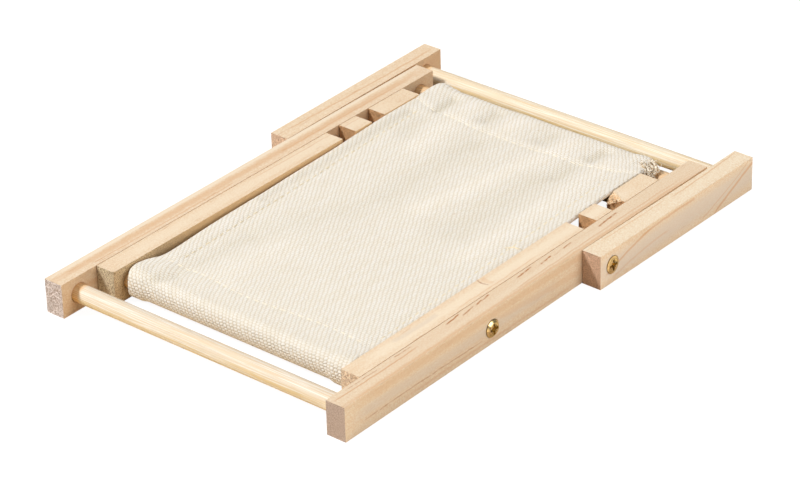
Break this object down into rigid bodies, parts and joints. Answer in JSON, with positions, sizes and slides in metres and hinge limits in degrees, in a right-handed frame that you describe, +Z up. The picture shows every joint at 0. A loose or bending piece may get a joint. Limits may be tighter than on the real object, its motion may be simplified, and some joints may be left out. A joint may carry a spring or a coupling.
{
  "type": "miniature folding deck chair",
  "caption": "Small wooden deck chair that folds flat, with a canvas sling, notched seat rails and a swinging prop frame; holds a phone.",
  "frame": {"origin": "middle of the underside of the chair when it is folded flat", "axes": "+X to the chair's right, +Y from the foot end to the far end, +Z up, out of the canvas side"},
  "size_m": [0.1158, 0.164, 0.01],
  "materials": {
    "pine": "raw planed pine, matte",
    "dowel": "raw turned dowel, matte, fine lengthwise fibres",
    "zinc_brass": "yellow zinc plating, satin",
    "canvas": "coarse unbleached cotton twill",
    "thread": "cream cotton sewing thread"
  },
  "bodies": {
    "back_frame": {"back_rail_left": "pine", "back_rail_right": "pine", "foot_bar": "dowel", "top_bar": "dowel", "prop_pivot_screw_left": "zinc_brass", "prop_pivot_screw_right": "zinc_brass", "sling_back_panel": "canvas", "upper_hem_stitching": "thread", "side_stitching_back_left": "thread", "side_stitching_back_right": "thread"},
    "seat_frame": {"seat_rail_left": "pine", "seat_rail_right": "pine", "seat_front_bar": "dowel", "seat_rear_bar": "dowel", "seat_pivot_screw_left": "zinc_brass", "seat_pivot_screw_right": "zinc_brass", "sling_seat_panel": "canvas", "lower_hem_stitching": "thread", "side_stitching_seat_left": "thread", "side_stitching_seat_right": "thread"},
    "prop_frame": {"prop_rail_left": "pine", "prop_rail_right": "pine", "prop_bar": "dowel"}
  },
  "joints": [
    {"name": "seat_fold", "type": "hinge", "parent": "back_frame", "child": "seat_frame", "pos_m": [0, -0.0243, 0.0045], "axis": [1, 0, 0], "range_deg": [-75.88, 0]},
    {"name": "prop_swing", "type": "hinge", "parent": "back_frame", "child": "prop_frame", "pos_m": [0, 0.0186, 0.0054], "axis": [1, 0, 0], "range_deg": [-119.69, 0]}
  ]
}
